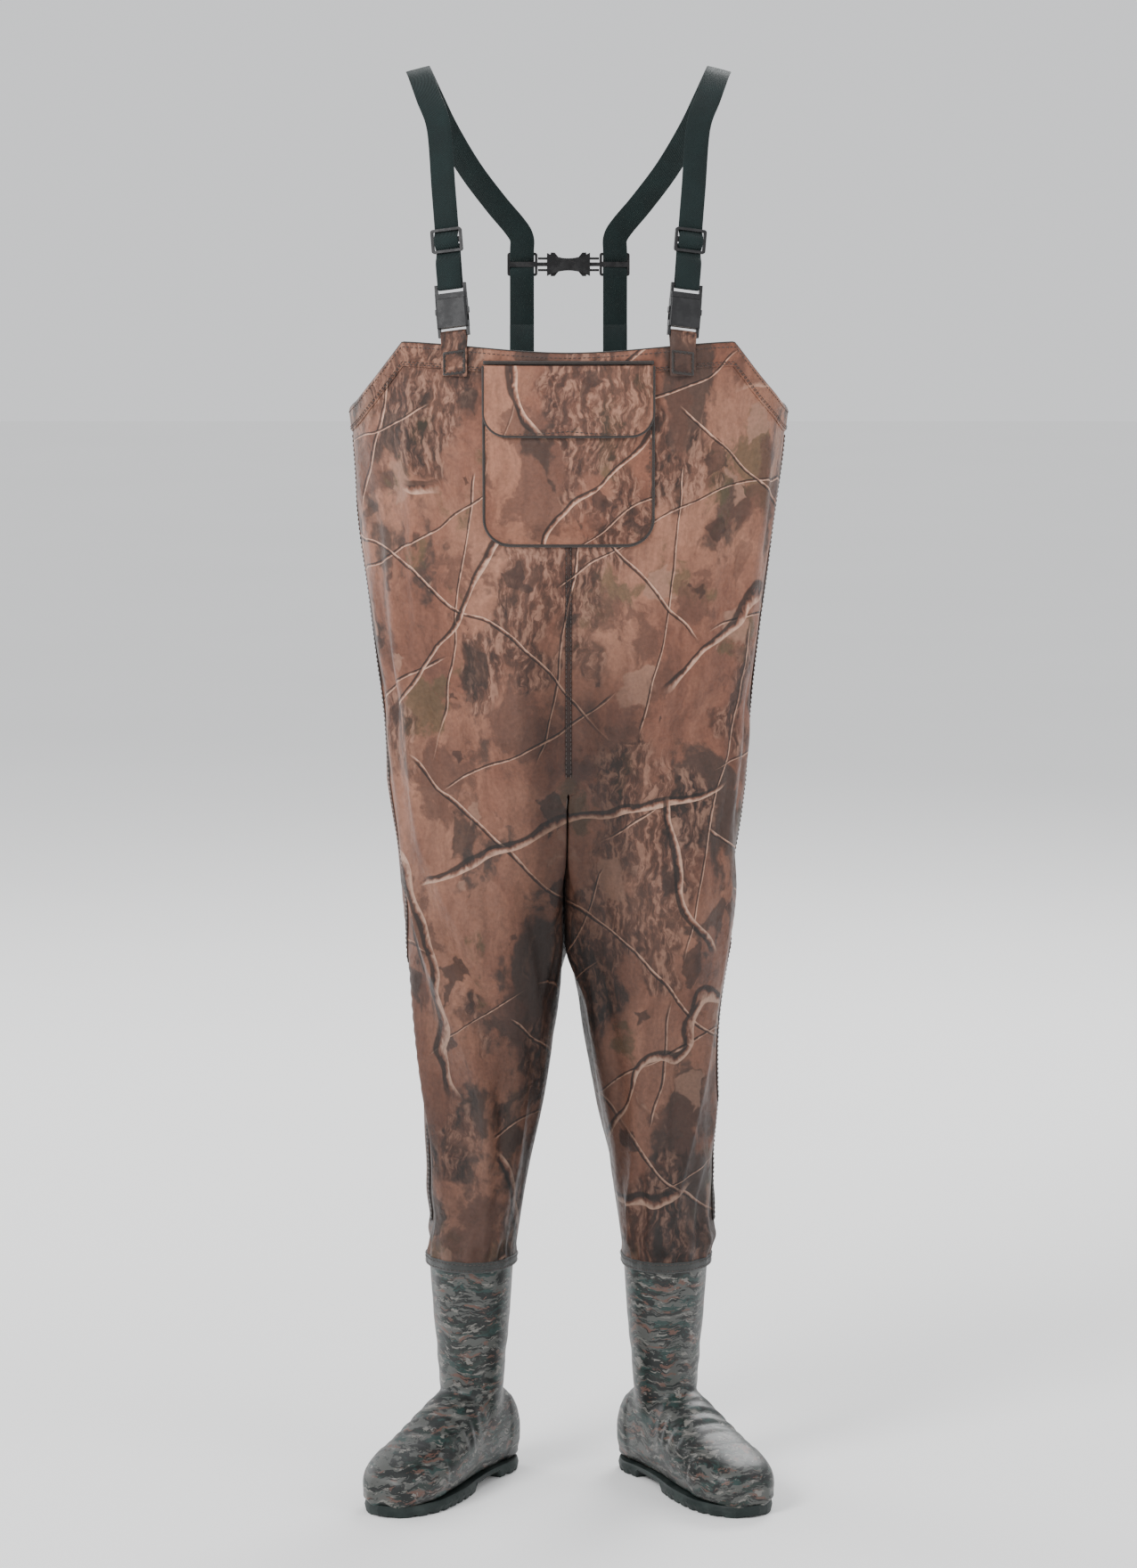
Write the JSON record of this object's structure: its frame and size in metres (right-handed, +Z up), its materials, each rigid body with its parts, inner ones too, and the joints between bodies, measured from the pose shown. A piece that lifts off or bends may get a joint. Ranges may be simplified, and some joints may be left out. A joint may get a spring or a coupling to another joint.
{
  "type": "chest waders",
  "caption": "Bib-height waders with joined boots, braces with side-release buckles and a back connector, and a flapped chest pocket.",
  "frame": {"origin": "on the floor under the middle of the object's footprint", "axes": "+Z up, the front faces -Y, the wearer's left is +X"},
  "size_m": [0.499, 0.3652, 1.6342],
  "materials": {
    "camo_fabric": "matte",
    "elastic": "matte",
    "seam_tape": "matte",
    "binding": "matte",
    "hook_and_loop": "matte",
    "webbing": "matte",
    "ring_plastic": "satin",
    "boot_pvc": "satin",
    "sole_rubber": "matte",
    "insole_felt": "matte",
    "cuff_tape": "matte",
    "buckle_plastic": "satin"
  },
  "bodies": {
    "root": {"front_body_panel": "camo_fabric", "back_body_panel": "camo_fabric", "front_hem_band": "camo_fabric", "back_hem_band": "camo_fabric", "back_elastic": "elastic", "centre_front_seam": "seam_tape", "centre_back_seam": "seam_tape", "left_leg": "camo_fabric", "right_leg": "camo_fabric", "crotch_gusset": "camo_fabric", "inner_pocket": "camo_fabric", "pocket_pouch": "camo_fabric", "flap_piping": "binding", "pouch_loop_pad": "hook_and_loop", "left_front_tab": "camo_fabric", "right_front_tab": "camo_fabric", "left_rear_tab": "camo_fabric", "right_rear_tab": "camo_fabric", "left_socket": "buckle_plastic", "right_socket": "buckle_plastic", "left_strap": "webbing", "right_strap": "webbing", "left_boot_shell": "boot_pvc", "right_boot_shell": "boot_pvc", "left_outsole": "sole_rubber", "right_outsole": "sole_rubber", "left_insole": "insole_felt", "right_insole": "insole_felt", "left_boot_cuff": "cuff_tape", "right_boot_cuff": "cuff_tape"},
    "pocket_flap": {"pocket_flap": "camo_fabric", "flap_hook_pad": "hook_and_loop"},
    "connector_hub": {"connector_hub": "buckle_plastic"},
    "left_rear_ring": {"left_rear_ring": "ring_plastic"},
    "left_plug": {"left_plug": "buckle_plastic", "left_buckle_loop": "webbing"},
    "left_adjuster": {"left_adjuster": "buckle_plastic"},
    "left_plug_outer_arm": {"left_plug_outer_arm": "buckle_plastic"},
    "left_plug_inner_arm": {"left_plug_inner_arm": "buckle_plastic"},
    "left_slider": {"left_slider": "buckle_plastic"},
    "left_slider_upper_arm": {"left_slider_upper_arm": "buckle_plastic"},
    "left_slider_lower_arm": {"left_slider_lower_arm": "buckle_plastic"},
    "right_rear_ring": {"right_rear_ring": "ring_plastic"},
    "right_plug": {"right_plug": "buckle_plastic", "right_buckle_loop": "webbing"},
    "right_adjuster": {"right_adjuster": "buckle_plastic"},
    "right_plug_outer_arm": {"right_plug_outer_arm": "buckle_plastic"},
    "right_plug_inner_arm": {"right_plug_inner_arm": "buckle_plastic"},
    "right_slider": {"right_slider": "buckle_plastic"},
    "right_slider_upper_arm": {"right_slider_upper_arm": "buckle_plastic"},
    "right_slider_lower_arm": {"right_slider_lower_arm": "buckle_plastic"}
  },
  "joints": [
    {"name": "pocket_flap_lift", "type": "hinge", "parent": "root", "child": "pocket_flap", "pos_m": [0, -0.1577, 1.309], "axis": [-1, 0, 0], "range_deg": [0, 165]},
    {"name": "connector_height", "type": "slide", "parent": "root", "child": "connector_hub", "axis": [0, 0, 1], "range_m": [-0.07, 0.015], "deforming": ["left_strap", "right_strap"]},
    {"name": "left_ring_swivel", "type": "hinge", "parent": "root", "child": "left_rear_ring", "pos_m": [0.054, 0.16434, 1.26717], "axis": [1, 0, 0], "range_deg": [-35, 35]},
    {"name": "left_plug_release", "type": "slide", "parent": "root", "child": "left_plug", "axis": [0.0797, 0.2354, 0.9686], "range_m": [0, 0.03], "deforming": ["left_strap", "left_buckle_loop", "left_plug_outer_arm", "left_plug_inner_arm"]},
    {"name": "left_strap_adjust", "type": "slide", "parent": "left_plug", "child": "left_adjuster", "axis": [0.0797, 0.2354, 0.9686], "range_m": [-0.03, 0.08]},
    {"name": "left_outer_arm_press", "type": "hinge", "parent": "left_plug", "child": "left_plug_outer_arm", "pos_m": [0.13997, -0.12523, 1.37933], "axis": [-0.2729, 0.9397, -0.2059], "range_deg": [0, 9], "stiffness_Nm_per_rad": 0.02},
    {"name": "left_inner_arm_press", "type": "hinge", "parent": "left_plug", "child": "left_plug_inner_arm", "pos_m": [0.12041, -0.13029, 1.38216], "axis": [0.2729, -0.9397, 0.2059], "range_deg": [0, 9], "stiffness_Nm_per_rad": 0.02},
    {"name": "left_slider_release", "type": "slide", "parent": "connector_hub", "child": "left_slider", "axis": [1, 0, 0], "range_m": [0, 0.02], "deforming": ["left_strap", "left_slider_upper_arm", "left_slider_lower_arm"]},
    {"name": "left_upper_arm_squeeze", "type": "hinge", "parent": "left_slider", "child": "left_slider_upper_arm", "pos_m": [0.0355, 0.17835, 1.4067], "axis": [0, -1, 0], "range_deg": [0, 8], "stiffness_Nm_per_rad": 0.02},
    {"name": "left_lower_arm_squeeze", "type": "hinge", "parent": "left_slider", "child": "left_slider_lower_arm", "pos_m": [0.0355, 0.17835, 1.3933], "axis": [0, 1, 0], "range_deg": [0, 8], "stiffness_Nm_per_rad": 0.02},
    {"name": "right_ring_swivel", "type": "hinge", "parent": "root", "child": "right_rear_ring", "pos_m": [-0.054, 0.16434, 1.26717], "axis": [1, 0, 0], "range_deg": [-35, 35]},
    {"name": "right_plug_release", "type": "slide", "parent": "root", "child": "right_plug", "axis": [-0.0797, 0.2354, 0.9686], "range_m": [0, 0.03], "deforming": ["right_strap", "right_buckle_loop", "right_plug_outer_arm", "right_plug_inner_arm"]},
    {"name": "right_strap_adjust", "type": "slide", "parent": "right_plug", "child": "right_adjuster", "axis": [-0.0797, 0.2354, 0.9686], "range_m": [-0.03, 0.08]},
    {"name": "right_outer_arm_press", "type": "hinge", "parent": "right_plug", "child": "right_plug_outer_arm", "pos_m": [-0.13997, -0.12523, 1.37933], "axis": [-0.2729, -0.9397, 0.2059], "range_deg": [0, 9], "stiffness_Nm_per_rad": 0.02},
    {"name": "right_inner_arm_press", "type": "hinge", "parent": "right_plug", "child": "right_plug_inner_arm", "pos_m": [-0.12041, -0.13029, 1.38216], "axis": [0.2729, 0.9397, -0.2059], "range_deg": [0, 9], "stiffness_Nm_per_rad": 0.02},
    {"name": "right_slider_release", "type": "slide", "parent": "connector_hub", "child": "right_slider", "axis": [-1, 0, 0], "range_m": [0, 0.02], "deforming": ["right_strap", "right_slider_upper_arm", "right_slider_lower_arm"]},
    {"name": "right_upper_arm_squeeze", "type": "hinge", "parent": "right_slider", "child": "right_slider_upper_arm", "pos_m": [-0.0355, 0.17835, 1.4067], "axis": [0, 1, 0], "range_deg": [0, 8], "stiffness_Nm_per_rad": 0.02},
    {"name": "right_lower_arm_squeeze", "type": "hinge", "parent": "right_slider", "child": "right_slider_lower_arm", "pos_m": [-0.0355, 0.17835, 1.3933], "axis": [0, -1, 0], "range_deg": [0, 8], "stiffness_Nm_per_rad": 0.02}
  ],
  "couplings": [
    {"joint": "left_inner_arm_press", "follows": "left_outer_arm_press", "ratio": 1},
    {"joint": "left_lower_arm_squeeze", "follows": "left_upper_arm_squeeze", "ratio": 1},
    {"joint": "right_inner_arm_press", "follows": "right_outer_arm_press", "ratio": 1},
    {"joint": "right_lower_arm_squeeze", "follows": "right_upper_arm_squeeze", "ratio": 1}
  ]
}
